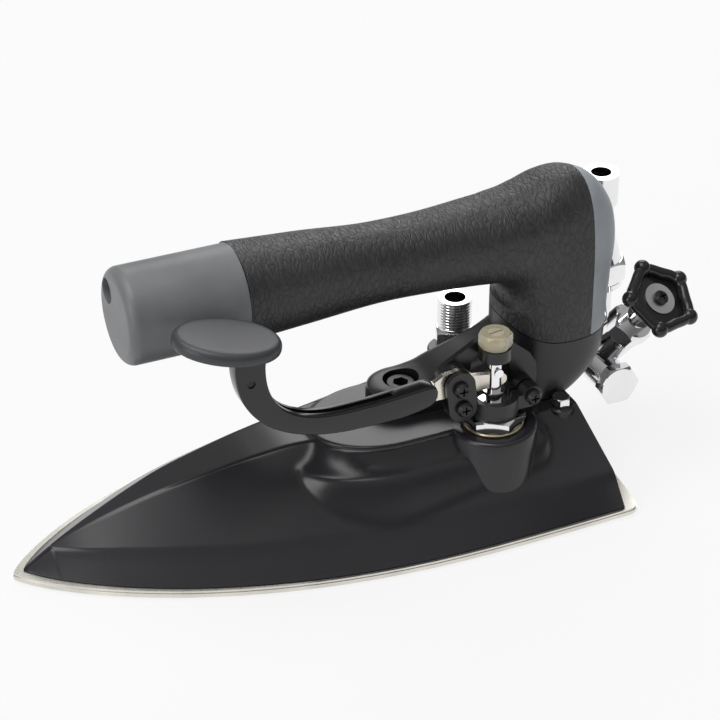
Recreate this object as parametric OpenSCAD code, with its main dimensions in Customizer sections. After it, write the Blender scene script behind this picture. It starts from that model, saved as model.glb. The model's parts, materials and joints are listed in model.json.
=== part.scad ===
// All-steam iron: soleplate, black body cover, leather-grain handle on a post,
// thumb lever that lifts the steam valve, and the chrome drain valve at the heel.
// Millimetres, +Z up, tip towards -X, the lever side faces -Y.
// The origin is the middle of the soleplate's underside, level with the ground.

/* [Soleplate] */
// distance from the origin forward to the tip
tip_len = 104.5; // [95:0.5:115]
// distance from the origin back to the heel at the corners
heel_len = 104; // [95:0.5:115]
// greatest width of the soleplate
sole_w = 104; // [96:1:120]
// thickness of the soleplate
sole_t = 3; // [2:0.1:5]
// extra length at the middle of the slightly bowed heel
heel_bow = 3; // [0:0.5:6]
// bore of a steam port
port_d = 3; // [2:0.1:4]

/* [Body cover] */
// height of the flat oval platform and of the valve boss
deck_z = 35.3; // [30:0.1:40]
// wall of the cover
cover_wall = 2.6; // [1.5:0.1:4]
// stations of the lofted cover from tip to heel
cover_steps = 44; // [20:1:60]
// radius of the valve boss
boss_r = 15; // [13:0.5:18]
// forward lean of the heel face, in degrees
heel_lean = 11; // [0:0.5:16]

/* [Handle] */
// height of the grip's axis
grip_z = 91.8; // [85:0.1:100]
// front face of the grey end cap
cap_x = -64; // [-75:0.5:-55]
// joint between end cap and grip
seam_x = -23.5; // [-35:0.5:-15]
// radius of the end cap
cap_r = 16.3; // [13:0.1:19]
// radius of the grip at its waist
waist_r = 13.5; // [11:0.1:16]
// front face of the post
post_x = 72; // [66:0.5:78]
// half width of the post
post_b = 17.3; // [14:0.1:20]
// depth of the grey back strip
strip_t = 5.3; // [3:0.1:8]
// front edge of the grey back strip
strip_x = 101; // [95:0.5:104]

/* [Steam valve] */
// valve axis, along the iron
valve_x = 59; // [50:0.5:66]
// valve axis, across the iron
valve_y = -26; // [-32:0.5:-20]
// across flats of the bonnet
bonnet_af = 19; // [17:1:24]
// diameter of the valve stem
stem_d = 5.5; // [4:0.1:8]
// lift of the stem when the pad is pressed
stem_lift = 1.95; // [1:0.01:3]

/* [Lever] */
// lever pivot, along the iron
pivot_x = 45.1; // [40:0.1:50]
// lever pivot, above the ground
pivot_z = 53.4; // [48:0.1:60]
// thickness of the nickel plate
plate_t = 2; // [1:0.1:3]
// thickness of the moulded arm
arm_t = 6.4; // [4:0.1:9]
// length of the thumb pad
pad_l = 35.2; // [25:0.1:45]
// width of the thumb pad
pad_w = 25.4; // [18:0.1:32]
// thickness of the thumb pad
pad_t = 4.3; // [3:0.1:7]

/* [Drain valve] */
// radius of the handwheel to the ball centres
wheel_r = 12.5; // [9:0.1:16]
// radius of a ball on the handwheel
ball_r = 2.9; // [2:0.1:4]
// distance along the valve axis from the manifold to the wheel
wheel_up = 50; // [44:0.5:56]

/* [Parts shown] */
// one part by name, or all of them

/* [Hidden] */
half_w = sole_w / 2;
// soleplate and cover outline: nose curve, then almost parallel sides
nose_len = 155;
function nose(s, n, w) = w * pow(1 - pow(max(0, 1 - s / n), 2.2), 0.8);
function side(x, start, w, n) = nose(max(0, x + start), n, w) - 1.1 * pow(max(0, x - 50) / 54, 2);
function heel(y, in) = heel_len - in + heel_bow * (1 - pow(y / half_w, 2));
sole_steps = 30;
corner_r = 3.5;
function sole_side(in) = [for (i = [0 : sole_steps])
    let (t = i / sole_steps, x = -tip_len + in + (tip_len + heel_len - 2 * in - corner_r) * t * t)
    [x, max(0.01, side(x, tip_len - in, half_w - in, nose_len))]];
function sole_heel(in) = let (e = sole_side(in)[sole_steps])
    [for (a = [15 : 15 : 90]) let (y = e[1] - corner_r * (1 - cos(a)))
        [e[0] + (heel(y, in) - e[0]) * sin(a), y],
     for (k = [1 : 7]) let (y = (e[1] - corner_r) * (1 - k / 8)) [heel(y, in), y]];
function mirrored(p) = [for (i = [len(p) - 1 : -1 : 0]) [p[i][0], -p[i][1]]];
function sole_outline(in) = let (h = concat(sole_side(in), sole_heel(in)))
    concat(h, [[heel(0, in), 0]], mirrored(h));

// cover: half width at the foot, crease and ridge, read along the iron
cover_tip = 100.8;
cover_end = 99;
cover_w = 50.6;
function foot_w(x) = max(0.4, side(x, cover_tip, cover_w, 151));
function crease_z(x) = x < -91 ? sole_t + 0.3 + (x + cover_tip) / (cover_tip - 91) * 6.8
    : 12.2 - 2.1 * pow(max(0, -45 - x) / 46, 2) + 4.6 * pow(max(0, x + 10) / 106, 2);
function crease_w(x) = max(0.35, foot_w(x) - (x < -91 ? 10.4
    : 9.6 - 4.6 * pow(max(0, x + 10) / 106, 2)));
ridge_heights = [[-101, 3.4], [-91, 10.3], [-76, 17.4], [-60, 23.4], [-50, 26.4], [-35, 29.6],
    [-20, 32.2], [-6, 33.7], [10, 34], [40, 33.3], [76, 31.7], [99, 31]];
ridge_widths = [[-91, 0.3], [-76, 2], [-60, 4.2], [-50, 5.6], [-35, 7], [-20, 8.2], [-6, 9.4],
    [10, 12], [40, 18.5], [60, 22], [76, 22.6], [99, 21.5]];
function ridge_z(x) = lookup(x, ridge_heights);
function ridge_w(x) = min(crease_w(x) * 0.8, lookup(x, ridge_widths));
// platform under the handle foot
deck_x = 26;
deck_y = -6;
deck_a = 26;
deck_b = 20;
deck_end = 71.5;
// distance outside the platform's outline, and the concave flare up to it
function deck_off(x, y) = let (u = x < deck_x ? (x - deck_x) / deck_a : max(0, x - deck_end) / 9,
    v = (y - deck_y) / deck_b)
    (sqrt(u * u + v * v) - 1) * deck_b;
flare = 9;
function flare_z(x, y) = let (d = deck_off(x, y))
    (deck_z - 0.8) - 5.5 * (1 - pow(1 - min(max(0, d), flare) / flare, 2)) - 3 * max(0, d - flare);
function roof_z(x, y) = let (a = abs(y), w = ridge_w(x), c = crease_w(x))
    a <= w ? ridge_z(x) : ridge_z(x) + (crease_z(x) - ridge_z(x)) * (a - w) / max(0.01, c - w);
function blend_z(a, b) = let (d = 1.6, h = max(0, d - abs(a - b)) / d) max(a, b) + h * h * d / 4;
facet_pts = 9;
function cover_half(x) = let (w = ridge_w(x), c = crease_w(x))
    [for (k = [0 : 2]) w * k / 3, for (k = [0 : facet_pts]) w + (c - w) * k / facet_pts];
function cover_ring(x) = let (h = cover_half(x), b = foot_w(x), n = len(h))
    concat([[x, b, sole_t]],
        [for (i = [n - 1 : -1 : 0]) [x, h[i], blend_z(roof_z(x, h[i]), flare_z(x, h[i]))]],
        [for (i = [1 : n - 1]) [x, -h[i], blend_z(roof_z(x, -h[i]), flare_z(x, -h[i]))]],
        [[x, -b, sole_t]]);
function cover_x(i) = let (t = i / cover_steps)
    -cover_tip + (cover_end + cover_tip) * (0.35 * t + 0.65 * t * t * (1.5 - 0.5 * t));

// handle: rings of points swept along the grip, round the bend and down the post
ring_n = 28;
bend_x = 68;
bend_z = 66;
grip_radii = [[-24, cap_r], [0, 14.8], [28, waist_r - 0.4], [46, 13.7], [bend_x, 15.3]];
// how far the underside hangs below the round section, and the top lies under it
grip_lows = [[-24, 0], [0, 0.2], [28, 0.6], [46, 0.6], [bend_x, 0.5]];
grip_dips = [[0, 0], [28, 0.6], [46, 1.2], [bend_x, 1.3]];
bend_outer = [[0, 45], [10, 46.3], [19, 49.3], [28, 52.7], [37, 55.5], [46, 56.8], [56, 55],
    [64, 50.6], [71, 45.2], [80, 41.4], [90, 39.7]];
bend_inner = [[0, 4], [45, 7.4], [90, 9.8]];
post_backs = [[31.5, 96.5], [33, 100.5], [36, 105], [40, 109], [44, 111.2], [48, 112], [66, 113]];
squircle = 2.3;
function sgn_pow(v) = sign(v) * pow(abs(v), 2 / squircle);
// ring in the plane through point o with direction d, from radius a to b, half width w
function hoop(o, d, a, b, w) = [for (k = [0 : ring_n - 1]) let (t = 360 * k / ring_n,
    r = (a + b) / 2 + (b - a) / 2 * sgn_pow(cos(t))) [o[0] + d[0] * r, w * sgn_pow(sin(t)), o[1] + d[1] * r]];
grip_stations = [seam_x, -12, 0, 10, 20, 28, 37, 46, 57];
grip_rings = concat(
    [for (x = grip_stations) let (r = lookup(x, grip_radii))
        hoop([x, grip_z], [0, 1], -r - lookup(x, grip_lows), r - lookup(x, grip_dips), r)],
    [for (a = [90 : -7.5 : 0]) hoop([bend_x, bend_z], [cos(a), sin(a)], lookup(a, bend_inner),
        lookup(a, bend_outer), 15.3 + (post_b - 15.3) * (1 - a / 90))],
    [for (z = [60, 54, 48, 44, 40, 36, 33.5, 32.1]) hoop([0, z], [1, 0], post_x,
        lookup(z, post_backs), post_b - (z < 40 ? (40 - z) * 0.05 : 0))]);
// line of the joint between leather grip and smooth foot, seen from the side
joint_line = [[60, 63.5], [70, 62.5], [73, 60.5], [77, 57.6], [82, 55.3], [88, 54], [95, 53.6], [125, 53.4]];

// steam valve heights
washer_z = deck_z - 0.8;
hex_z = washer_z + 1.5;
ring_z = hex_z + 4;
ring_h = 6.2;
stem_r = stem_d / 2;
pin_z = 56;
collar_z = 60.8;
collar_h = 4.4;
collar_r = 5.55;
// planes of the lever work, across the iron
plate_y = valve_y;
ear_y = valve_y - 1.5;
ear_t = 1.8;
bridge_y = valve_y + 4.5;
lug_x = 71.2;
lug_z = 45;
arm_y = -30;
pad_x = -38.3;
pad_z = 91.8;
pad_y = -31;
// drain valve
man_x = 120.6;
man_y = 17;
man_z = 20.5;
wheel_tilt = 38.8;
wheel_spin = -73.3;

function back(p) = [for (i = [len(p) - 1 : -1 : 0]) p[i]];

module extrude_y(y0, y1) translate([0, y1, 0]) rotate([90, 0, 0]) linear_extrude(y1 - y0) children();

// pipe along an axis given by a start point and a turn
module at_drain(up) translate([man_x, man_y, man_z]) rotate([0, 0, wheel_spin])
    rotate([0, wheel_tilt, 0]) translate([0, 0, up]) children();

module hexagon(af, h) cylinder(d = af / cos(30), h = h, $fn = 6);

// hexagon with both ends chamfered as on a turned nut
module nut_body(af, h, $fn = 48) intersection() {
    hexagon(af, h);
    union() {
        cylinder(d1 = af * 0.97, d2 = af / cos(30), h = h * 0.16);
        translate([0, 0, h * 0.16]) cylinder(d = af / cos(30) + 0.01, h = h * 0.68);
        translate([0, 0, h * 0.84]) cylinder(d1 = af / cos(30), d2 = af * 0.97, h = h * 0.16);
    }
}

// pan-head screw along -Z from a head standing on z = 0
module pan_screw(d, head_d, head_h, len, $fn = 32) {
    difference() {
        union() {
            cylinder(d = head_d, h = head_h * 0.55);
            translate([0, 0, head_h * 0.55]) cylinder(d1 = head_d, d2 = head_d * 0.72, h = head_h * 0.45);
        }
        translate([-head_d * 0.27, -head_d * 0.06, head_h * 0.35]) cube([head_d * 0.54, head_d * 0.12, head_h]);
        translate([-head_d * 0.06, -head_d * 0.27, head_h * 0.35]) cube([head_d * 0.12, head_d * 0.54, head_h]);
    }
    translate([0, 0, -len]) cylinder(d = d, h = len);
}

module slab(in, z, h) translate([0, 0, z]) linear_extrude(h) polygon(sole_outline(in));

module sole_plate() color("silver") difference() {
    union() {
        slab(0.9, 0, 0.5);
        slab(0.2, 0.5, 0.7);
        slab(0, 1.2, 0.9);
        slab(0.25, 2.1, sole_t - 2.1);
    }
    // steam ports: a V behind the tip and a row down the middle
    for (k = [0 : 4], s = [-1, 1]) translate([-80 + 17 * k, s * (5 + 6.4 * k), -1])
        cylinder(d = port_d, h = sole_t + 2, $fn = 32);
    for (k = [0 : 3]) translate([-88 + 22 * k, 0, -1])
        cylinder(d = port_d, h = sole_t + 2, $fn = 32);
}

// solid through a list of closed rings; looking along the list the points run clockwise
module loft(rings) {
    m = len(rings);
    n = len(rings[0]);
    polyhedron([for (r = rings) each r], concat(
        [for (i = [0 : m - 2], k = [0 : n - 1]) let (a = i * n, b = a + n, j = (k + 1) % n) each
            [[a + k, b + j, a + j], [a + k, b + k, b + j]]],
        [[for (k = [0 : n - 1]) k]],
        [[for (k = [n - 1 : -1 : 0]) (m - 1) * n + k]]), convexity = 8);
}

module body_block() loft([for (i = [0 : cover_steps]) cover_ring(cover_x(i))]);

// hollow under the cover: plain stepped walls, so the casting has room
inner_x = [-80, -60, -40, -20, 0, 30, 60, 95];
function inner_ring(x) = let (b = foot_w(x) - cover_wall - 1.5, c = crease_w(x) - cover_wall,
    w = ridge_w(x), zc = crease_z(x) - 1, zr = ridge_z(x) - cover_wall - 0.6)
    [[x, b, sole_t - 1], [x, c, zc], [x, min(w, c * 0.7), zr], [x, -min(w, c * 0.7), zr], [x, -c, zc],
     [x, -b, sole_t - 1]];
module inner_block() loft([for (x = inner_x) inner_ring(x)]);

module deck_shape() {
    translate([deck_x, deck_y]) scale([deck_a / deck_b, 1]) circle(deck_b, $fn = 96);
    translate([deck_x, deck_y - deck_b]) square([deck_end - deck_x, 2 * deck_b]);
}

// everything behind the cover's leaning heel, moved forward by in
module behind_heel(in) translate([cover_end - in, -60, sole_t]) rotate([0, -heel_lean, 0]) cube([60, 120, 60]);

module body_cover() color("black") difference() {
    union() {
        difference() {
            body_block();
            difference() {
                inner_block();
                behind_heel(cover_wall + 1.4);
            }
            behind_heel(0);
        }
        translate([0, 0, 26]) linear_extrude(deck_z - 26) deck_shape();
        translate([valve_x, valve_y, 8.2]) cylinder(r = boss_r, h = deck_z - 8.2, $fn = 96);
        translate([70, 27, 20]) cylinder(r = 9.5, h = 12, $fn = 64);
    }
    // room for the casting's pads and for what passes through
    translate([valve_x, valve_y, 0]) cylinder(r = 12, h = 31, $fn = 64);
    translate([valve_x, valve_y, 0]) cylinder(r = 7.4, h = 60, $fn = 64);
    translate([valve_x, valve_y, washer_z]) cylinder(r = 11.4, h = 9, $fn = 64);
    translate([screw_x, 0, 0]) cylinder(r = 3.4, h = 60, $fn = 48);
    translate([screw_x, 0, 0]) cylinder(r = 9.3, h = 30, $fn = 48);
    translate([core_x, 0, 0]) cylinder(r = 8.4, h = 60, $fn = 48);
    translate([70, 27, 0]) cylinder(r = 6.4, h = 60, $fn = 48);
    for (s = [-1, 1]) translate([bolt_x, bolt_y * s, 0]) cylinder(r = 2.3, h = 60, $fn = 32);
    for (s = [-1, 1]) translate([bolt_x, bolt_y * s, 31.6]) cylinder(r = 5, h = 9, $fn = 48);
    translate([72.9, -19, 32]) cube([30, 38, 12]);
    translate([84, stub_y, low_z]) rotate([0, 90, 0]) cylinder(r = 5.6, h = 20, $fn = 32);
    translate([0, 0, -1]) linear_extrude(sole_t + 1) square(300, center = true);
}

module base_casting() color("silver") difference() {
    union() {
        difference() {
            translate([0, 0, sole_t + 0.1]) linear_extrude(5) polygon(sole_outline(16));
            translate([-110, -60, 0]) cube([38, 120, 30]);
            translate([92, -60, 0]) cube([38, 120, 30]);
        }
        translate([valve_x, valve_y, 8]) cylinder(r = 11.6, h = 22.8, $fn = 64);
        translate([screw_x, 0, 8]) cylinder(r = 9, h = 20.8, $fn = 48);
        translate([core_x, 0, 8]) cylinder(r = 9.4, h = 18.5, $fn = 48);
        translate([70, 27, 8]) cylinder(r = 8, h = 8.8, $fn = 48);
        translate([76, stub_y - 6, 8]) cube([14.6, 12, 18]);
        for (s = [-1, 1]) translate([bolt_x, bolt_y * s, 8]) cylinder(r = 4, h = 18.5, $fn = 32);
    }
    behind_heel(cover_wall + 1.8);
    // valve chamber, foot screw, post, inlet, drain and cover bolt holes
    translate([valve_x, valve_y, 18]) cylinder(r = 7, h = 20, $fn = 64);
    translate([valve_x, valve_y, 12]) cylinder(r = 4.2, h = 20, $fn = 48);
    translate([screw_x, 0, 14]) cylinder(r = 3, h = 40, $fn = 48);
    translate([core_x, 0, 14]) cylinder(r = 7.4, h = 40, $fn = 48);
    translate([70, 27, 10]) cylinder(r = 6, h = 40, $fn = 48);
    for (s = [-1, 1]) translate([bolt_x, bolt_y * s, 16]) cylinder(r = 2, h = 40, $fn = 32);
    translate([79, stub_y, low_z]) rotate([0, 90, 0]) cylinder(r = 3, h = 20, $fn = 32);
}

bolt_x = 87.6;
bolt_y = 21.2;
module cover_bolts() color("silver") for (s = [-1, 1]) translate([bolt_x, bolt_y * s, 31.6]) {
    nut_body(6, 3.4);
    translate([0, 0, -14]) cylinder(r = 1.95, h = 14.2, $fn = 32);
}

module handle_block() loft(back(grip_rings));

module above_joint() extrude_y(-40, 40)
    polygon(concat([[-70, 63.5]], joint_line, [[125, 130], [-70, 130]]));
module below_joint() extrude_y(-40, 40)
    polygon(concat([[20, 20], [20, 63]], [for (p = joint_line) [p[0], p[1] - 0.35]], [[125, 20]]));
module back_zone(shift) difference() {
    translate([strip_x, -40, 40]) cube([40, 80, 90]);
    translate([-strip_t - shift, 0, 0]) handle_block();
}

core_x = 84;
core_r = 7;
screw_x = 36.5;
boss_w = 12.1;
foot_tops = [[24.3, 6.9], [26, 7.4], [28.5, 7.7], [screw_x, 7.7], [44, 9], [50, 11.4], [57, 13.6],
    [63, 15.3], [69, 17.6], [75, 21], [84, 26]];
// half width of the foot: a round boss in front that widens back to the post
function foot_half(x) = x < screw_x ? sqrt(max(1, boss_w * boss_w - pow(screw_x - x, 2)))
    : boss_w + (15.6 - boss_w) * pow((x - screw_x) / (84 - screw_x), 1.4);
foot_x = [24.3, 24.6, 25.2, 26, 27, 28.5, 30.5, 33, 36, 40, 44, 47, 50, 53, 57, 60, 63, 66, 69, 72, 75, 79, 84];
foot_pts = 22;
function foot_ring(x) = let (w = foot_half(x), h = lookup(x, foot_tops), e = x < screw_x ? 0.5 : 0.66)
    [for (k = [0 : foot_pts]) let (t = 180 * k / foot_pts)
        [x, w * sign(cos(t)) * pow(abs(cos(t)), e), deck_z + 0.05 + h * pow(max(0, sin(t)), e)]];
module handle_foot() color("black") difference() {
    intersection() {
        union() {
            handle_block();
            loft([for (x = foot_x) foot_ring(x)]);
        }
        below_joint();
    }
    translate([50, -30, 20]) cube([27, 60, deck_z + 0.05 - 20]);
    translate([screw_x, 0, 20]) cylinder(r = 3.2, h = 40, $fn = 48);
    translate([screw_x, 0, 37.8]) cylinder(r = 6.25, h = 20, $fn = 64);
    translate([core_x, 0, 20]) cylinder(r = core_r + 0.1, h = 60, $fn = 64);
}

module foot_screw() color("gray") translate([screw_x, 0, 37.8]) {
    difference() {
        union() {
            cylinder(r = 5, h = 3.6, $fn = 64);
            translate([0, 0, 3.6]) cylinder(r1 = 5, r2 = 4.6, h = 0.4, $fn = 64);
        }
        translate([0, 0, 1.4]) hexagon(5, 4);
    }
    translate([0, 0, -22]) cylinder(r = 2.95, h = 22.1, $fn = 48);
}

module handle_core() color("silver") difference() {
    union() {
        translate([-50, 0, grip_z]) rotate([0, 90, 0]) cylinder(r = core_r, h = 145.4, $fn = 64);
        translate([-48, 0, grip_z]) rotate([0, 90, 0]) cylinder(r = 13, h = 4, $fn = 64);
        translate([core_x, 0, 14.2]) cylinder(r = core_r, h = grip_z - 14.2, $fn = 64);
    }
    translate([-51, 0, grip_z]) rotate([0, 90, 0]) cylinder(r = 5, h = 139, $fn = 48);
    translate([core_x, 0, 20]) cylinder(r = 5, h = grip_z - 20, $fn = 48);
    translate([-49, hole_y, hole_z]) rotate([0, 90, 0]) cylinder(r = 1.5, h = 6, $fn = 32);
}

module grip() color("dimgray") difference() {
    intersection() {
        handle_block();
        above_joint();
    }
    back_zone(0.05);
    translate([seam_x - 1, 0, grip_z]) rotate([0, 90, 0])
        cylinder(r = core_r + 0.1, h = 96.6 - seam_x, $fn = 64);
    translate([core_x, 0, 40]) cylinder(r = core_r + 0.1, h = grip_z - 40, $fn = 64);
}

module rear_strip() color("lightsteelblue") intersection() {
    handle_block();
    above_joint();
    back_zone(0);
}

hole_y = 7.2;
hole_z = grip_z + 6.2;
cap_round = 3.6;
module front_cap() color("gray") difference() {
    translate([seam_x - 0.15, 0, grip_z]) rotate([0, -90, 0]) rotate_extrude($fn = 96) union() {
        square([cap_r, seam_x - 0.15 - cap_x - cap_round]);
        square([cap_r - cap_round, seam_x - 0.15 - cap_x]);
        translate([cap_r - cap_round, seam_x - 0.15 - cap_x - cap_round]) circle(cap_round, $fn = 48);
    }
    translate([-50.1, 0, grip_z]) rotate([0, 90, 0]) cylinder(r = 13.2, h = 40, $fn = 64);
    translate([cap_x - 1, hole_y, hole_z]) rotate([0, 90, 0]) cylinder(d = 8.7, h = 11, $fn = 64);
    translate([cap_x - 1, hole_y, hole_z]) rotate([0, 90, 0]) cylinder(r = 1.7, h = 20, $fn = 32);
}

module cap_screw() color("gray") translate([-54, hole_y, hole_z]) rotate([0, -90, 0]) {
    difference() {
        cylinder(r = 3.5, h = 3.2, $fn = 48);
        translate([0, 0, 1]) hexagon(3, 4);
    }
    translate([0, 0, -9.4]) cylinder(r = 1.45, h = 9.5, $fn = 32);
}

module at_valve(z) translate([valve_x, valve_y, z]) children();

module valve_washer() color("khaki") at_valve(washer_z) difference() {
    union() {
        cylinder(r = 10.4, h = 1.1, $fn = 96);
        translate([0, 0, 1.1]) cylinder(r1 = 10.4, r2 = 10, h = 0.4, $fn = 96);
    }
    translate([0, 0, -1]) cylinder(r = 7.2, h = 4, $fn = 64);
}

module valve_bonnet() color("silver") difference() {
    union() {
        at_valve(hex_z) rotate(32.5) nut_body(bonnet_af, 4);
        at_valve(20) cylinder(r = 6.9, h = hex_z - 19.9, $fn = 64);
        at_valve(ring_z - 0.1) cylinder(r = 5.95, h = 4.6, $fn = 64);
    }
    at_valve(18) cylinder(r = stem_r + 0.05, h = 40, $fn = 64);
    at_valve(18) cylinder(r = 4.3, h = 14, $fn = 48);
}

module valve_seat() color("goldenrod") at_valve(18) difference() {
    cylinder(r = 6.85, h = 2, $fn = 48);
    translate([0, 0, -1]) cylinder(r = 2.4, h = 5, $fn = 48);
}

module valve_stem() color("silver") difference() {
    union() {
        at_valve(20.05) cylinder(r = 3.6, h = 2.95, $fn = 48);
        at_valve(22.9) cylinder(r = stem_r, h = 24.4, $fn = 64);
        at_valve(47.2) cylinder(r = 3.85, h = 1.1, $fn = 64);
        at_valve(48.2) cylinder(r = 2.45, h = stem_top - 48.2, $fn = 64);
    }
    at_valve(48.9) translate([-5, -1.3, 0]) cube([10, 2.6, 8.4]);
    translate([valve_x, valve_y + 5, pin_z]) rotate([90, 0, 0]) cylinder(r = 1, h = 10, $fn = 32);
}

module stem_pin() color("silver") translate([valve_x, valve_y, pin_z]) rotate([90, 0, 0]) {
    translate([0, 0, -3.2]) cylinder(r = 0.98, h = 6.1, $fn = 32);
    translate([0, 0, 2.8]) cylinder(r = 1.6, h = 0.7, $fn = 32);
}

ear_top = [pivot_x, pivot_z + 0.8];
ear_low = [46.2, 45.7];
module ear_shape() hull() {
    translate(ear_top) circle(5.3, $fn = 32);
    translate(ear_low) circle(5.3, $fn = 32);
}

module clamp_ring() color("black") difference() {
    union() {
        at_valve(ring_z) cylinder(r = 8.5, h = ring_h, $fn = 96);
        extrude_y(-24.6, bridge_y) ear_shape();
        extrude_y(-27.5, -24.5) translate(ear_low) circle(2.6, $fn = 32);
        extrude_y(-27.5, bridge_y) translate([46, ring_z]) square([7, 5]);
        extrude_y(-31, bridge_y) {
            translate([lug_x, lug_z]) circle(3.8, $fn = 48);
            translate([64, ring_z + 1]) square([lug_x - 64, ring_h - 1]);
        }
    }
    at_valve(ring_z - 1) cylinder(r = 6, h = ring_h + 2, $fn = 96);
    extrude_y(-29.4, ear_y) translate(ear_low) circle(5.6, $fn = 48);
    // the split that the lug screw pulls together
    translate([valve_x, valve_y - 0.5, ring_z - 1]) cube([30, 1, 12]);
    extrude_y(-40, -10) translate([lug_x, lug_z]) circle(1.6, $fn = 32);
    extrude_y(-40, -10) translate(ear_low) circle(1.55, $fn = 32);
    extrude_y(-40, -10) translate([pivot_x, pivot_z]) circle(1.55, $fn = 32);
}

module ear_plate() color("black") extrude_y(ear_y - ear_t, ear_y) difference() {
    ear_shape();
    translate([pivot_x, pivot_z]) circle(2.02, $fn = 48);
    translate(ear_low) circle(1.55, $fn = 32);
}

module facing_left(p, y) translate([p[0], y, p[1]]) rotate([90, 0, 0]) children();

module pivot_screw() color("dimgray") facing_left([pivot_x, pivot_z], ear_y - ear_t) {
    pan_screw(4, 5.6, 2.2, 4.7);
    translate([0, 0, -10]) cylinder(r = 1.5, h = 5.4, $fn = 32);
}

module ear_screw() color("dimgray") facing_left(ear_low, ear_y - ear_t) pan_screw(3, 5.6, 2.2, 9.6);

module lug_screw() color("dimgray") facing_left([lug_x, lug_z], -31) pan_screw(3, 5.4, 2.2, 11);

module bridge_bracket() color("black") difference() {
    union() {
        extrude_y(bridge_y, bridge_y + 2) {
            ear_shape();
            polygon([[40.3, 47], [40.3, 56], [42.4, 58.8], [53.6, 65.1], [64.4, 65.1], [69, 61],
                [74.6, 56], [77.2, 51.5], [77.6, 45], [67.6, 41.5], [67.6, 50], [65.4, 58.4],
                [62.5, 60.4], [55.5, 60.4], [52.6, 58.2], [51.3, 50], [51.3, 42], [46, 41]]);
            translate([lug_x + 1.6, lug_z]) circle(4.6, $fn = 48);
        }
        at_valve(collar_z) cylinder(r = collar_r, h = collar_h, $fn = 64);
        translate([valve_x - 4, valve_y, collar_z]) cube([8, 6, collar_h]);
    }
    at_valve(collar_z - 1) cylinder(r = 2.75, h = 9, $fn = 48);
    at_valve(collar_z - 1) cylinder(r = 3.1, h = 2, $fn = 48);
    extrude_y(-40, -10) translate([lug_x, lug_z]) circle(1.55, $fn = 32);
    extrude_y(-40, -10) translate(ear_low) circle(1.55, $fn = 32);
    extrude_y(-40, -10) translate([pivot_x, pivot_z]) circle(1.55, $fn = 32);
}

cap_top = collar_z + collar_h + 5.4;
stem_top = 58.9;
stop_z = stem_top + stem_lift + 0.45;
module adjusting_screw() color("silver") difference() {
    at_valve(stop_z) cylinder(r = 2.7, h = cap_top - stop_z - 0.1, $fn = 48);
    at_valve(cap_top - 1.2) rotate(8) translate([-4, -0.35, 0]) cube([8, 0.7, 3]);
}

module lock_cap() color("ivory") difference() {
    at_valve(collar_z + collar_h) rotate(37.8) nut_body(10.05, 5.4);
    at_valve(collar_z) cylinder(r = 2.75, h = 20, $fn = 48);
}

// cubic curve through the side view of the lever arm
function curve(a, b, c, d, n) = [for (i = [0 : n]) let (t = i / n, u = 1 - t)
    a * u * u * u + 3 * b * u * u * t + 3 * c * u * t * t + d * t * t * t];
arm_outer = curve([-36.2, 84], [-36.6, 66], [-24, 51.6], [3.8, 50.4], 16);
arm_inner = curve([-25.8, 82], [-26, 66], [-17, 58.8], [1, 58.2], 16);
arm_tip = [[12, 50.2], [22, 50.3], [33.4, 52.6], [35, 57.2], [33.4, 59.9], [22, 59], [12, 58.3]];
neck_left = curve([-40.5, 91], [-38.4, 88.6], [-36.4, 88], [-36.2, 84], 4);
neck_right = curve([-25.8, 82], [-25.6, 86], [-24.6, 88], [-22.4, 90], 4);
arm_side = concat(neck_left, [for (i = [1 : 16]) arm_outer[i]], arm_tip,
    [for (i = [16 : -1 : 1]) arm_inner[i]], neck_right, [[-22.4, 94], [-40.5, 94]]);

module at_pad() translate([pad_x, pad_y, pad_z]) rotate([0, 0, -14]) rotate([0, 9, 0]) children();

module lever_plate() color("gainsboro") difference() {
    union() {
        extrude_y(plate_y - plate_t / 2, plate_y + plate_t / 2) {
            intersection() {
                translate([pivot_x, pivot_z]) circle(6, $fn = 64);
                translate([30, 49.4]) square(30);
            }
            polygon([[45, 59.3], [39.5, 58.6], [36, 56.6], [36, 49.8], [46, 49.4], [60.9, 49.7],
                [60.9, 54.3], [50.4, 56], [47, 59]]);
            translate([60.9, 52]) circle(2.3, $fn = 32);
        }
        // crank outwards to the arm
        hull() {
            translate([36, plate_y - plate_t / 2, 49.8]) cube([0.5, plate_t, 6.8]);
            translate([31, arm_y - plate_t / 2, 51.6]) cube([0.5, plate_t, 5.4]);
        }
        translate([9, arm_y - plate_t / 2, 51.6]) cube([22.4, plate_t, 5.4]);
    }
    extrude_y(-40, -10) translate([pivot_x, pivot_z]) circle(2.06, $fn = 48);
}

pin_hole = [-31, 77.2];
module lever_arm() color("black") difference() {
    extrude_y(arm_y - arm_t / 2, arm_y + arm_t / 2) polygon(arm_side);
    // groove along the inner edge
    extrude_y(arm_y - 1.1, arm_y + 1.1) polygon(concat(arm_inner, [[33, 59.6], [40, 62], [40, 58.4],
        [22, 57.4]], back([for (i = [0 : 16]) arm_inner[i] - 1.4 * [1 - i / 16, i / 16]])));
    hull() {
        translate([36, plate_y - plate_t / 2, 49.8]) cube([0.5, plate_t, 6.8]);
        translate([31, arm_y - plate_t / 2, 51.6]) cube([0.5, plate_t, 5.4]);
    }
    translate([9, arm_y - plate_t / 2, 51.6]) cube([22.4, plate_t, 5.4]);
    extrude_y(-40, -10) translate(pin_hole) circle(1.4, $fn = 32);
    at_pad() translate([-40, -40, 0]) cube([80, 80, 30]);
}

module arm_pin() color("dimgray") extrude_y(arm_y - arm_t / 2 + 0.5, arm_y + arm_t / 2 - 0.3)
    translate(pin_hole) circle(1.38, $fn = 32);

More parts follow.
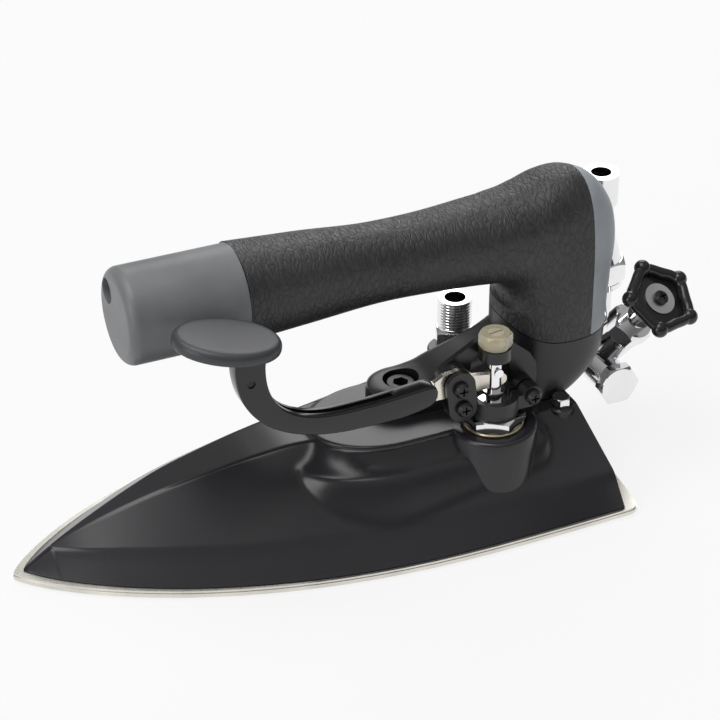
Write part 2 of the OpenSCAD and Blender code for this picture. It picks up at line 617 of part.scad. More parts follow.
// thumb pad: oval rings from the underside, over the rounded edge, to the slightly hollow top
pad_rings = [[0.9, 0], [0.25, 0.35], [0, 1.3], [0.1, 2.6], [0.6, 3.6], [1.5, 4.15], [2.6, pad_t],
    [5.5, pad_t - 0.15], [9.5, pad_t - 0.35]];
module thumb_pad() color("dimgray") at_pad() loft([for (r = pad_rings) [for (k = [0 : 47])
    [(pad_l / 2 - r[0]) * cos(-7.5 * k), (pad_w / 2 - r[0]) * sin(-7.5 * k), r[1]]]]);

low_z = 21.5;
low_x = 120;
low_len = 21;
stub_y = 12.6;
flange_z = 53;
module rear_manifold() color("silver") difference() {
    union() {
        translate([low_x, 19.5, low_z]) rotate([90, 0, 0]) cylinder(r = 6.5, h = low_len, $fn = 64);
        translate([man_x, man_y, low_z]) cylinder(r = 6.2, h = flange_z - low_z + 1, $fn = 64);
        translate([man_x, man_y, flange_z]) cylinder(r = 9.6, h = 2, $fn = 64);
        at_drain(0) cylinder(r = 5.6, h = 24.5, $fn = 64);
        at_drain(14) cylinder(r = 7, h = 10.5, $fn = 64);
    }
    translate([low_x, 15, low_z]) rotate([90, 0, 0]) cylinder(r = 4, h = low_len, $fn = 48);
    translate([man_x, man_y, low_z]) cylinder(r = 4, h = 60, $fn = 48);
    at_drain(6) cylinder(r = 3.4, h = 30, $fn = 48);
    translate([95, stub_y, low_z]) rotate([0, 90, 0]) cylinder(r = 2.9, h = 24, $fn = 48);
}

module manifold_plug() color("silver") translate([low_x, 19.5 - low_len, low_z]) rotate([90, 0, 0]) {
    nut_body(14, 4);
    translate([0, 0, -4]) cylinder(r = 3.95, h = 4.1, $fn = 48);
}

module stub_pipe() color("silver") translate([86, stub_y, low_z]) rotate([0, 90, 0]) difference() {
    union() {
        cylinder(r = 2.85, h = 30, $fn = 48);
        translate([0, 0, 14]) nut_body(9, 5);
    }
    translate([0, 0, -1]) cylinder(r = 1.8, h = 40, $fn = 32);
}

module union_nut() color("silver") translate([man_x, man_y, flange_z + 2]) difference() {
    union() {
        rotate(12) nut_body(19, 8);
        translate([0, 0, 7.5]) cylinder(r1 = 9, r2 = 6, h = 9.5, $fn = 64);
    }
    translate([0, 0, -1]) cylinder(r = 5.2, h = 30, $fn = 64);
}

module outlet_tube() color("silver") translate([man_x, man_y, flange_z + 2]) difference() {
    union() {
        cylinder(r = 5.15, h = 34, $fn = 64);
        translate([0, 0, 30]) cylinder(r = 6.4, h = 11.5, $fn = 64);
        translate([0, 0, 28.4]) cylinder(r1 = 5.1, r2 = 6.4, h = 1.7, $fn = 64);
    }
    translate([0, 0, -1]) cylinder(r = 3.6, h = 60, $fn = 48);
}

module drain_bonnet() color("silver") at_drain(24.6) difference() {
    union() {
        rotate(20) nut_body(14, 7.4);
        translate([0, 0, 7.3]) cylinder(r = 4.6, h = 3.6, $fn = 64);
    }
    translate([0, 0, -1]) cylinder(r = 2.56, h = 30, $fn = 64);
}

module drain_spindle() color("silver") at_drain(14) {
    cylinder(r1 = 1.6, r2 = 3, h = 2, $fn = 48);
    translate([0, 0, 1.9]) cylinder(r = 2.5, h = wheel_up - 18, $fn = 64);
}

module handwheel() color("black") at_drain(wheel_up) rotate(34) difference() {
    union() {
        rotate_extrude($fn = 96) translate([wheel_r, 0]) circle(2.2, $fn = 32);
        for (k = [0 : 4]) rotate(72 * k) translate([wheel_r, 0, 0]) sphere(ball_r, $fn = 32);
        translate([0, 0, -2.4]) cylinder(r = wheel_r, h = 1.8, $fn = 64);
        translate([0, 0, -6]) cylinder(r1 = 4.2, r2 = 5.4, h = 4, $fn = 64);
    }
    translate([0, 0, -7]) cylinder(r = 2.56, h = 5.2, $fn = 64);
    translate([0, 0, -7]) cylinder(r = 1.6, h = 9, $fn = 32);
}

module wheel_plate() color("gainsboro") at_drain(wheel_up - 0.55) difference() {
    cylinder(r = 5.8, h = 0.5, $fn = 64);
    translate([0, 0, -1]) cylinder(r = 1.6, h = 3, $fn = 32);
}

module wheel_screw() color("dimgray") at_drain(wheel_up) pan_screw(3, 5.2, 2, 1.9);

module inlet_nipple() color("silver") translate([70, 27, 32.4]) difference() {
    union() {
        rotate(10) nut_body(13, 8.4);
        translate([0, 0, 8.3]) cylinder(r = 5.9, h = 12.1, $fn = 64);
        translate([0, 0, -20]) cylinder(r = 5.9, h = 20.1, $fn = 64);
    }
    translate([0, 0, -21]) cylinder(r = 3.8, h = 60, $fn = 48);
}

sole_plate();
base_casting();
body_cover();
cover_bolts();
handle_foot();
foot_screw();
handle_core();
grip();
front_cap();
cap_screw();
rear_strip();
valve_washer();
valve_bonnet();
valve_seat();
valve_stem();
stem_pin();
clamp_ring();
ear_plate();
pivot_screw();
ear_screw();
lug_screw();
bridge_bracket();
adjusting_screw();
lock_cap();
lever_plate();
lever_arm();
arm_pin();
thumb_pad();
rear_manifold();
manifold_plug();
stub_pipe();
union_nut();
outlet_tube();
drain_bonnet();
drain_spindle();
handwheel();
wheel_plate();
wheel_screw();
inlet_nipple();
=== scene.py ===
import bisect, json, math
import bpy, bmesh
from mathutils import Vector, Matrix


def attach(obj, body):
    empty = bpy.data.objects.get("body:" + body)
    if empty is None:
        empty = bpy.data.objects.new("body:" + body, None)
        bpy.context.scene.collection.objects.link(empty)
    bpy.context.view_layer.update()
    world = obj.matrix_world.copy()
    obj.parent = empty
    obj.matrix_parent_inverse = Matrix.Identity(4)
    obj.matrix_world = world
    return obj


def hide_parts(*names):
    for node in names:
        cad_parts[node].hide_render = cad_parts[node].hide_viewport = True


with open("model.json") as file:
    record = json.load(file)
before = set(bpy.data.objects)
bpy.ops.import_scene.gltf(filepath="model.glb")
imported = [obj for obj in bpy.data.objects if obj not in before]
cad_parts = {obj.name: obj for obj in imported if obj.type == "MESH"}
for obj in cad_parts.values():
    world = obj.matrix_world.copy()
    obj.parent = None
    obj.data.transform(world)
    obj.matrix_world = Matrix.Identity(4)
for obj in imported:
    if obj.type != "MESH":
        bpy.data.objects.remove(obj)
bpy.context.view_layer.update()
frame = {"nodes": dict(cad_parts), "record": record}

MM = 0.001
scene = bpy.context.scene

# camera: solved from the photograph
CAM_POS = (-0.2756, -0.6669, 0.5104)
CAM_RIGHT = Vector((0.9135, -0.4067, 0.0))
CAM_UP = Vector((0.2155, 0.484, 0.848))
LENS = 127.5


def make_camera():
    data = bpy.data.cameras.new("camera")
    data.lens = LENS
    data.sensor_width = 36
    data.clip_start = 0.01
    data.clip_end = 20
    cam = bpy.data.objects.new("camera", data)
    scene.collection.objects.link(cam)
    right = CAM_RIGHT.normalized()
    up = (CAM_UP - right * CAM_UP.dot(right)).normalized()
    back = right.cross(up)
    rot = Matrix((right, up, back)).transposed()
    cam.matrix_world = Matrix.Translation(CAM_POS) @ rot.to_4x4()
    scene.camera = cam


make_camera()


def link(ob):
    scene.collection.objects.link(ob)
    return ob


# ---------------------------------------------------------------- materials
class Nodes:
    """Short way to write a material's node tree."""

    def __init__(self, name):
        self.mat = bpy.data.materials.new(name)
        self.mat.use_nodes = True
        self.nt = self.mat.node_tree
        self.bsdf = self.nt.nodes["Principled BSDF"]
        self.tc = self.nt.nodes.new("ShaderNodeTexCoord")

    def add(self, kind, **inputs):
        n = self.nt.nodes.new(kind)
        for k, v in inputs.items():
            self.put(n, k, v)
        return n

    def put(self, n, k, v):
        if k.startswith("_"):
            setattr(n, k[1:], v)
            return
        s = n.inputs[int(k[1:])] if k[0] == "i" and k[1:].isdigit() else n.inputs[k.replace("_", " ")]
        if isinstance(v, bpy.types.NodeSocket):
            self.nt.links.new(v, s)
        else:
            s.default_value = v

    def mm(self, scale=(1, 1, 1)):
        """Object coordinates in millimetres, times scale."""
        m = self.add("ShaderNodeMapping", Vector=self.tc.outputs["Object"])
        m.inputs["Scale"].default_value = [1000 * s for s in scale]
        return m.outputs[0]

    def noise(self, vec, scale, detail=3, rough=0.5, dist=0.0):
        n = self.add("ShaderNodeTexNoise", Vector=vec, Scale=scale, Detail=detail, Roughness=rough, Distortion=dist)
        return n.outputs[0]

    def ramp(self, fac, stops):
        n = self.add("ShaderNodeValToRGB", Fac=fac)
        e = n.color_ramp.elements
        while len(e) < len(stops):
            e.new(0.5)
        for el, (p, c) in zip(e, stops):
            el.position = p
            el.color = c if isinstance(c, (tuple, list)) and len(c) == 4 else (*c, 1) if isinstance(c, (tuple, list)) else (c, c, c, 1)
        return n.outputs[0]

    def math(self, op, a, b=None):
        n = self.add("ShaderNodeMath")
        n.operation = op
        self.put(n, "i0", a)
        if b is not None:
            self.put(n, "i1", b)
        return n.outputs[0]

    def mixc(self, fac, a, b, blend="MIX"):
        n = self.nt.nodes.new("ShaderNodeMix")
        n.data_type = "RGBA"
        n.blend_type = blend
        for s, v in ((n.inputs[0], fac), (n.inputs[6], a), (n.inputs[7], b)):
            if isinstance(v, bpy.types.NodeSocket):
                self.nt.links.new(v, s)
            elif isinstance(v, (tuple, list)):
                s.default_value = (*v[:3], 1)
            else:
                s.default_value = v
        return n.outputs[2]

    def bump(self, height, strength, distance, normal=None):
        n = self.add("ShaderNodeBump", Height=height, Strength=strength, Distance=distance)
        if normal is not None:
            self.put(n, "Normal", normal)
        return n.outputs[0]

    def out(self, **kw):
        for k, v in kw.items():
            self.put(self.bsdf, k, v)
        return self.mat


def plain(name, colour, rough, metal=0.0, coat=0.0, grain=0.35, vary=0.12, bump=0.15, gloss=0.05, scale=(1, 1, 1), spec=0.5):
    """Surface with fine grain, slow change of shade and a little unevenness in its gloss."""
    m = Nodes(name)
    p = m.mm(scale)
    slow = m.noise(p, 0.06, 3)
    fine = m.noise(p, grain * 4, 4, 0.6)
    c0 = tuple(max(0, c * (1 - vary)) for c in colour)
    c1 = tuple(min(1, c * (1 + vary)) for c in colour)
    col = m.mixc(m.ramp(slow, ((0.3, 0.0), (0.7, 1.0))), c0, c1)
    r = m.ramp(fine, ((0.25, max(0.02, rough - gloss)), (0.75, min(1, rough + gloss))))
    m.out(Base_Color=col, Roughness=r, Metallic=metal, Normal=m.bump(fine, bump, 0.00003))
    m.bsdf.inputs["Coat Weight"].default_value = coat
    m.bsdf.inputs["Specular IOR Level"].default_value = spec
    return m.mat


def chrome(name, colour=(0.80, 0.80, 0.81), rough=0.07):
    return plain(name, colour, rough, 1.0, vary=0.05, grain=0.5, bump=0.10)


def leather(name):
    """Dull black hide: fine creases that run mostly round the grip, and small pores; the colour is darker in the crease
    grooves, which is painted shade.
    """
    m = Nodes(name)
    p = m.mm()
    warp = m.add("ShaderNodeVectorMath", _operation="MULTIPLY_ADD", i0=m.add(
        "ShaderNodeTexNoise", Vector=p, Scale=0.11, Detail=2.0).outputs[1], i1=(5.0, 5.0, 5.0), i2=p).outputs[0]
    across = m.add("ShaderNodeMapping", Vector=warp)
    across.inputs["Scale"].default_value = (0.62, 0.24, 0.24)
    across.inputs["Rotation"].default_value = (0.0, 0.35, 0.5)
    wrinkle = m.add("ShaderNodeTexVoronoi", _feature="DISTANCE_TO_EDGE", Vector=across.outputs[0], Scale=1.0)
    crease = m.ramp(wrinkle.outputs["Distance"], ((0.0, 0.0), (0.16, 0.8), (0.5, 1.0)))
    folds = m.noise(across.outputs[0], 1.3, 4, 0.6)
    pores = m.noise(p, 1.9, 3, 0.6)
    height = m.math("ADD", m.math("MULTIPLY", crease, 0.5), m.math("ADD", m.math("MULTIPLY", folds, 0.8),
                                                               m.math("MULTIPLY", pores, 0.22)))
    # painted shade: the base colour darkens into the crease grooves, where shade would fall
    painted_crease_shade = m.mixc(crease, (0.016, 0.016, 0.017), (0.034, 0.034, 0.035))
    col = m.mixc(m.ramp(m.noise(p, 0.05, 3), ((0.35, 0.0), (0.7, 0.5))), painted_crease_shade, (0.044, 0.044, 0.046))
    r = m.ramp(folds, ((0.3, 0.38), (0.7, 0.54)))
    return m.out(Base_Color=col, Roughness=r, Normal=m.bump(height, 0.85, 0.00032))


def clear_cap(name):
    """Yellowed translucent plastic."""
    m = Nodes(name)
    p = m.mm()
    col = m.mixc(m.noise(p, 0.3, 3), (0.74, 0.66, 0.44), (0.88, 0.82, 0.64))
    m.out(Base_Color=col, Roughness=m.ramp(m.noise(p, 1.5, 2), ((0.3, 0.12), (0.7, 0.24))))
    m.bsdf.inputs["Transmission Weight"].default_value = 0.55
    m.bsdf.inputs["IOR"].default_value = 1.46
    return m.mat


MAT = {
    "sole_metal": plain("sole_metal", (0.72, 0.70, 0.64), 0.30, 1.0),
    "cast_metal": plain("cast_metal", (0.55, 0.55, 0.55), 0.5, 1.0),
    "cover_black": plain("cover_black", (0.021, 0.020, 0.023), 0.24, bump=0.01, gloss=0.008, vary=0.05),
    "bright_metal": chrome("bright_metal", (0.86, 0.86, 0.87), 0.09),
    "foot_black": plain("foot_black", (0.018, 0.018, 0.020), 0.36, bump=0.05, gloss=0.02),
    "screw_black": plain("screw_black", (0.035, 0.035, 0.036), 0.35, 0.6),
    "core_steel": plain("core_steel", (0.5, 0.5, 0.5), 0.4, 1.0),
    "grip_leather": leather("grip_leather"),
    "cap_grey": plain("cap_grey", (0.16, 0.165, 0.172), 0.42),
    "strip_grey": plain("strip_grey", (0.36, 0.39, 0.42), 0.45),
    "washer_brass": plain("washer_brass", (0.60, 0.52, 0.38), 0.3, 1.0),
    "bracket_black": plain("bracket_black", (0.014, 0.014, 0.015), 0.3),
    "cap_clear": clear_cap("cap_clear"),
    "plate_nickel": plain("plate_nickel", (0.74, 0.70, 0.62), 0.25, 1.0),
    "arm_black": plain("arm_black", (0.010, 0.010, 0.011), 0.17, bump=0.01, gloss=0.01),
    "pad_grey": plain("pad_grey", (0.045, 0.047, 0.052), 0.42),
    "wheel_black": plain("wheel_black", (0.012, 0.012, 0.013), 0.22),
    "wheel_silver": plain("wheel_silver", (0.6, 0.6, 0.6), 0.35, 1.0),
}
SCREW_PALE = plain("screw_pale", (0.60, 0.55, 0.42), 0.35, 0.25)
slot_of = {s["node"]: s["material_slot"] for s in frame["record"]["subparts"]}


def dress(ob, slot):
    me = ob.data
    if not me.materials:
        me.materials.append(MAT[slot])
    for i in range(len(me.materials)):
        me.materials[i] = MAT[slot]


for node, ob in frame["nodes"].items():
    dress(ob, slot_of[node])
frame["nodes"]["adjusting_screw"].data.materials[0] = SCREW_PALE


# ---------------------------------------------------------------- mesh helpers
def piece(name, verts, faces, body, slot, replaces=None, smooth=35):
    """Mesh in millimetres as an object that rides a body; edges sharper than smooth stay crisp."""
    me = bpy.data.meshes.new(name)
    me.from_pydata([(v[0] * MM, v[1] * MM, v[2] * MM) for v in verts], [], faces)
    me.update()
    bm = bmesh.new()
    bm.from_mesh(me)
    bmesh.ops.remove_doubles(bm, verts=bm.verts, dist=0.000001)
    bmesh.ops.recalc_face_normals(bm, faces=bm.faces)
    bm.to_mesh(me)
    bm.free()
    ob = link(bpy.data.objects.new(name, me))
    me.materials.append(MAT[slot])
    shade(ob, smooth)
    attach(ob, body)
    if replaces:
        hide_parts(replaces)
    return ob


def shade(ob, angle):
    me = ob.data
    me.polygons.foreach_set("use_smooth", [True] * len(me.polygons))
    me.set_sharp_from_angle(angle=math.radians(angle))


def cut(ob, verts, faces, how="DIFFERENCE", angle=35):
    """Boolean with a mesh in millimetres, baked into the piece."""
    me = bpy.data.meshes.new("cutter")
    me.from_pydata([(v[0] * MM, v[1] * MM, v[2] * MM) for v in verts], [], faces)
    bm = bmesh.new()
    bm.from_mesh(me)
    bmesh.ops.recalc_face_normals(bm, faces=bm.faces)
    bm.to_mesh(me)
    bm.free()
    tool = link(bpy.data.objects.new("cutter", me))
    mod = ob.modifiers.new("cut", "BOOLEAN")
    mod.operation = how
    mod.solver = "EXACT"
    mod.object = tool
    bpy.context.view_layer.update()
    dg = bpy.context.evaluated_depsgraph_get()
    new = bpy.data.meshes.new_from_object(ob.evaluated_get(dg))
    ob.modifiers.remove(mod)
    old = ob.data
    ob.data = new
    bpy.data.meshes.remove(old)
    bpy.data.objects.remove(tool)
    bpy.data.meshes.remove(me)
    shade(ob, angle)


def loft(rings, caps=True):
    """Closed rings of equal length joined into a skin."""
    n = len(rings[0])
    verts = [p for r in rings for p in r]
    faces = [(i * n + k, i * n + (k + 1) % n, (i + 1) * n + (k + 1) % n, (i + 1) * n + k)
             for i in range(len(rings) - 1) for k in range(n)]
    if caps:
        faces.append(tuple(range(n))[::-1])
        faces.append(tuple((len(rings) - 1) * n + k for k in range(n)))
    return verts, faces


def lathe(profile, centre, n=96, closed=False):
    """Profile of (radius, height) turned about a vertical axis; the ends are capped unless closed."""
    rings = [[(centre[0] + r * math.cos(2 * math.pi * k / n), centre[1] + r * math.sin(2 * math.pi * k / n),
               centre[2] + z) for k in range(n)] for r, z in profile]
    if closed:
        rings.append(rings[0])
    return loft(rings, not closed)


def prism(points, y0, y1):
    """Side view (x, z) drawn out across the iron."""
    n = len(points)
    verts = [(x, y0, z) for x, z in points] + [(x, y1, z) for x, z in points]
    faces = [(k, (k + 1) % n, n + (k + 1) % n, n + k) for k in range(n)]
    return verts, faces + [tuple(range(n))[::-1], tuple(range(n, 2 * n))]


def through(knots):
    """Smooth reading of a table of knots that never overshoots them."""
    xs = [k[0] for k in knots]
    ys = [k[1] for k in knots]
    d = [(ys[i + 1] - ys[i]) / (xs[i + 1] - xs[i]) for i in range(len(xs) - 1)]
    m = [d[0]] + [0 if d[i - 1] * d[i] <= 0 else 2 * d[i - 1] * d[i] / (d[i - 1] + d[i])
                  for i in range(1, len(d))] + [d[-1]]

    def read(x):
        x = min(max(x, xs[0]), xs[-1])
        i = min(max(bisect.bisect_right(xs, x) - 1, 0), len(xs) - 2)
        h = xs[i + 1] - xs[i]
        t = (x - xs[i]) / h
        return ((1 + 2 * t) * (1 - t) ** 2 * ys[i] + t * (1 - t) ** 2 * h * m[i]
                + t * t * (3 - 2 * t) * ys[i + 1] + t * t * (t - 1) * h * m[i + 1])
    return read


def steps(a, b, n):
    return [a + (b - a) * i / n for i in range(n + 1)]


# ---------------------------------------------------------------- body cover
SOLE_T, DECK_Z = 3.0, 35.3


def nose(s, n, w):
    return w * (1 - max(0, 1 - s / n) ** 2.2) ** 0.8


def foot_w(x):
    return max(0.4, nose(max(0, x + 100.8), 151, 50.6) - 1.1 * (max(0, x - 50) / 54) ** 2)


def crease_z(x):
    if x < -91:
        return SOLE_T + 0.3 + (x + 100.8) / 9.8 * 6.8
    return 12.2 - 2.1 * (max(0, -45 - x) / 46) ** 2 + 4.6 * (max(0, x + 10) / 106) ** 2


def crease_w(x):
    return max(0.35, foot_w(x) - (10.4 if x < -91 else 9.6 - 4.6 * (max(0, x + 10) / 106) ** 2))


ridge_z = through([[-101, 3.4], [-91, 10.3], [-76, 17.4], [-60, 23.4], [-50, 26.4], [-35, 29.6], [-20, 32.2],
                   [-6, 33.7], [10, 34], [40, 33.3], [76, 31.7], [99, 31]])
ridge_table = through([[-91, 0.3], [-76, 2], [-60, 4.2], [-50, 5.6], [-35, 7], [-20, 8.2], [-6, 9.4], [10, 12],
                       [40, 18.5], [60, 22], [76, 22.6], [99, 21.5]])


def ridge_w(x):
    return min(crease_w(x) * 0.8, ridge_table(x))


def deck_off(x, y):
    u = (x - 26) / 26 if x < 26 else max(0, x - 71.5) / 9
    return (math.hypot(u, (y + 6) / 20) - 1) * 20


def skin_z(x, y):
    """Height of the roof at a point, with the concave flare up to the platform."""
    a, w, c = abs(y), ridge_w(x), crease_w(x)
    z = ridge_z(x) if a <= w else ridge_z(x) + (crease_z(x) - ridge_z(x)) * (a - w) / max(0.01, c - w)
    d = deck_off(x, y)
    f = DECK_Z - 1.1 - 5.5 * (1 - (1 - min(max(0, d), 9) / 9) ** 2) - 1.5 * (d - 9 + math.hypot(d - 9, 1.2))
    h = max(0, 1.6 - abs(z - f)) / 1.6
    return max(z, f) + h * h * 0.4


def cover_section(x):
    """Half section from the crease to the middle: offsets across the iron and a lowering at the edges."""
    w, c = ridge_w(x), crease_w(x)
    e = min(0.9, (c - w) * 0.2, w * 0.3 + 0.05)
    out = [(c, 0.22), (c - e, 0.0)]
    out += [(w + e + (c - w - 2 * e) * (1 - k / 32), 0.0) for k in range(1, 33)]
    out += [(w, 0.12), (max(0, w - e), 0.0)]
    out += [((w - e) * (1 - k / 12), 0.0) for k in range(1, 12)]
    return out


def heel_plane(z):
    return 99 - math.tan(math.radians(11)) * max(0, z - SOLE_T)


def lean(x, z):
    return x if x < 60 else 60 + (x - 60) * (heel_plane(z) - 60) / 39


def make_cover():
    rings = []
    for t in steps(0, 1, 280):
        x = -100.7 + 199.6 * (0.35 * t + 0.65 * t * t * (1.5 - 0.5 * t))
        b, c, zc = foot_w(x), crease_w(x), crease_z(x)
        side = [(lean(x, SOLE_T), b - 0.25, SOLE_T), (lean(x, SOLE_T), b, SOLE_T + 0.25)]
        side += [(lean(x, z), b + (c + 0.1 - b) * u, z) for u in (0.08, 0.35, 0.65, 0.9)
                 for z in (SOLE_T + 0.25 + (zc - 0.5 - SOLE_T - 0.25) * u,)]
        far, near = list(side), [(p[0], -p[1], p[2]) for p in side]
        for half, sign in ((far, 1), (near, -1)):
            for y, low in cover_section(x):
                z = skin_z(lean(x, 30), sign * y) - low
                half.append((lean(x, z), sign * y, z))
        rings.append(far + near[::-1])
    ob = piece("cover_skin", *loft(rings), "base", "cover_black", "body_cover", 62)
    deck = []
    for off, z in ((0, 26), (0, 34.4), (0.12, 34.9), (0.4, 35.15), (0.85, 35.26), (1.6, DECK_Z - 0.02)):
        ring = [(26 - (26 - off) * math.sin(a), -6 + (20 - off) * math.cos(a)) for a in
                [math.pi * k / 64 for k in range(65)]]
        ring += [(x, -26 + off) for x in (34, 42, 50, 58, 64, 71.5 - off)]
        ring += [(x, 14 - off) for x in (71.5 - off, 64, 58, 50, 42, 34)]
        deck.append([(x, y, z) for x, y in ring])
    top = piece("cover_platform", *loft(deck), "base", "cover_black", "body_cover", 50)
    cut(top, *lathe([(11.4, 0), (11.4, 30)], (59, -26, 20)), angle=50)
    boss = [(7.4, 20), (7.4, 34.5), (11.4, 34.5), (11.4, 35.05), (11.65, DECK_Z), (13.9, DECK_Z), (14.6, 35.05),
            (15, 34.4), (15, 8.4), (7.4, 8.4)]
    piece("cover_valve_boss", *lathe(boss, (59, -26, 0), 128, True), "base", "cover_black", "body_cover", 40)
    ring = [(6.1, 24), (6.1, 32), (9.0, 32), (9.5, 31.5), (9.5, 24)]
    piece("cover_inlet_boss", *lathe(ring, (70, 27, 0), 96, True), "base", "cover_black", "body_cover", 40)
    for k, y in enumerate((-21.2, 21.2)):
        pad = [(2.2, 26), (2.2, 31.55), (4.5, 31.55), (4.8, 31.3), (4.8, 26)]
        piece("cover_bolt_pad_%d" % k, *lathe(pad, (87.6, y, 0), 64, True), "base", "cover_black", "body_cover", 40)


# ---------------------------------------------------------------- handle
GRIP_Z, SEAM_X, BEND_X, BEND_Z, POST_X, POST_B = 91.8, -23.5, 68, 66, 72, 17.3
grip_r = through([[-24, 16.3], [0, 14.8], [28, 13.1], [46, 13.7], [68, 15.3]])
grip_dip = through([[-24, 0], [0, 0], [28, 0.6], [46, 1.2], [68, 1.3]])
grip_low = through([[-24, 0], [0, 0.2], [28, 0.6], [46, 0.6], [68, 0.5]])
bend_out = through([[0, 45], [10, 46.3], [19, 49.3], [28, 52.7], [37, 55.5], [46, 56.6], [56, 54.6], [64, 50.2],
                    [71, 45.2], [80, 41.4], [90, 39.7]])
bend_in = through([[0, 4], [45, 7.4], [90, 9.8]])
post_back = through([[31.5, 96.5], [33, 100.5], [36, 105], [40, 109], [44, 111.2], [48, 112], [66, 113]])
JOINT = [[60, 63.5], [70, 62.5], [73, 60.5], [77, 57.6], [82, 55.3], [88, 54], [95, 53.6], [125, 53.4]]
joint_z = through(JOINT)


def handle_rings(inset, n=112):
    def hoop(o, d, a, b, w):
        pts = []
        for k in range(n):
            t = 2 * math.pi * k / n
            c = math.copysign(abs(math.cos(t)) ** (2 / 2.3), math.cos(t))
            s = math.copysign(abs(math.sin(t)) ** (2 / 2.3), math.sin(t))
            r = (a + b) / 2 + ((b - a) / 2 - inset) * c
            pts.append((o[0] + d[0] * r, (w - inset) * s, o[1] + d[1] * r))
        return pts
    rings = []
    for x in steps(SEAM_X, 60, 56):
        r = grip_r(x)
        rings.append(hoop((x, GRIP_Z), (0, 1), -r - grip_low(x), r - grip_dip(x), r))
    for a in steps(90, 0, 64):
        c, s = math.cos(math.radians(a)), math.sin(math.radians(a))
        rings.append(hoop((BEND_X, BEND_Z), (c, s), bend_in(a), bend_out(a), 15.3 + (POST_B - 15.3) * (1 - a / 90)))
    for z in steps(64, 32.1, 40):
        rings.append(hoop((0, z), (1, 0), POST_X, post_back(z), POST_B - (max(0, 40 - z) * 0.05)))
    return rings


FOOT_TOPS = through([[24.3, 6.9], [26, 7.4], [28.5, 7.7], [36.5, 7.7], [44, 9], [50, 11.4], [57, 13.6], [63, 15.3],
                     [69, 17.6], [75, 21], [84, 26]])


def foot_ring(x, n=64):
    w = math.sqrt(max(1, 12.1 ** 2 - (36.5 - x) ** 2)) if x < 36.5 else 12.1 + 3.5 * ((x - 36.5) / 47.5) ** 1.4
    h = FOOT_TOPS(x)
    e = 0.5 if x < 36.5 else 0.5 + 0.16 * min(1, (x - 36.5) / 10)
    pts = []
    for k in range(n + 1):
        t = math.pi * k / n
        c = math.cos(t)
        pts.append((x, (w - 0.05) * math.copysign(abs(c) ** e, c), DECK_Z + 0.1 + (h - 0.1) * max(0, math.sin(t)) ** e))
    return pts


def joint_prism(shift, above):
    line = [(x, joint_z(x) + shift) for x in steps(60, 125, 65)]
    if above:
        return prism([(-70, 63.5 + shift)] + line + [(125, 130), (-70, 130)], -40, 40)
    return prism([(20, 20), (20, 63.5 + shift)] + line + [(125, 20)], -40, 40)


def make_handle():
    grip = piece("grip_skin", *loft(handle_rings(0.1)), "base", "grip_leather", "grip", 40)
    cut(grip, *joint_prism(0, True), how="INTERSECT", angle=40)
    inner = loft(handle_rings(5.3))
    box = prism([(101, 40), (135, 40), (135, 130), (101, 130)], -40, 40)
    strip = piece("strip_skin", *loft(handle_rings(0.15)), "base", "strip_grey", "rear_strip", 40)
    cut(strip, *joint_prism(0, True), how="INTERSECT", angle=40)
    cut(strip, *box, how="INTERSECT", angle=40)
    cut(strip, *inner, angle=40)
    box = prism([(100.8, 40), (135, 40), (135, 130), (100.8, 130)], -40, 40)
    wedge = piece("strip_room", *box, "base", "strip_grey", None, 40)
    cut(wedge, *loft(handle_rings(5.4)), angle=40)
    room = [tuple(c / MM for c in v.co) for v in wedge.data.vertices], [tuple(p.vertices) for p in wedge.data.polygons]
    cut(grip, *room, angle=40)
    bpy.data.objects.remove(wedge)
    foot = piece("foot_skin", *loft(handle_rings(0.1)), "base", "foot_black", "handle_foot", 40)
    xs = [24.3, 24.45, 24.7, 25, 25.5, 26] + steps(27, 84, 57)
    cut(foot, *loft([foot_ring(x) for x in xs]), how="UNION", angle=40)
    cut(foot, *joint_prism(-0.35, False), how="INTERSECT", angle=40)
    cut(foot, *prism([(50, 20), (73, 20), (73, DECK_Z + 0.05), (50, DECK_Z + 0.05)], -30, 30), angle=40)
    cut(foot, *lathe([(6.25, 0), (6.25, 30)], (36.5, 0, 37.8)), angle=40)


# ---------------------------------------------------------------- lever, pad and nipple
def bezier(a, b, c, d, n):
    return [tuple(p[0] * (1 - t) ** 3 + 3 * p[1] * (1 - t) ** 2 * t + 3 * p[2] * (1 - t) * t * t + p[3] * t ** 3
                  for p in zip(a, b, c, d)) for t in steps(0, 1, n)]


def pad_frame():
    return (Matrix.Translation((-38.3, -31, 91.8)) @ Matrix.Rotation(math.radians(-14), 4, "Z")
            @ Matrix.Rotation(math.radians(9), 4, "Y"))


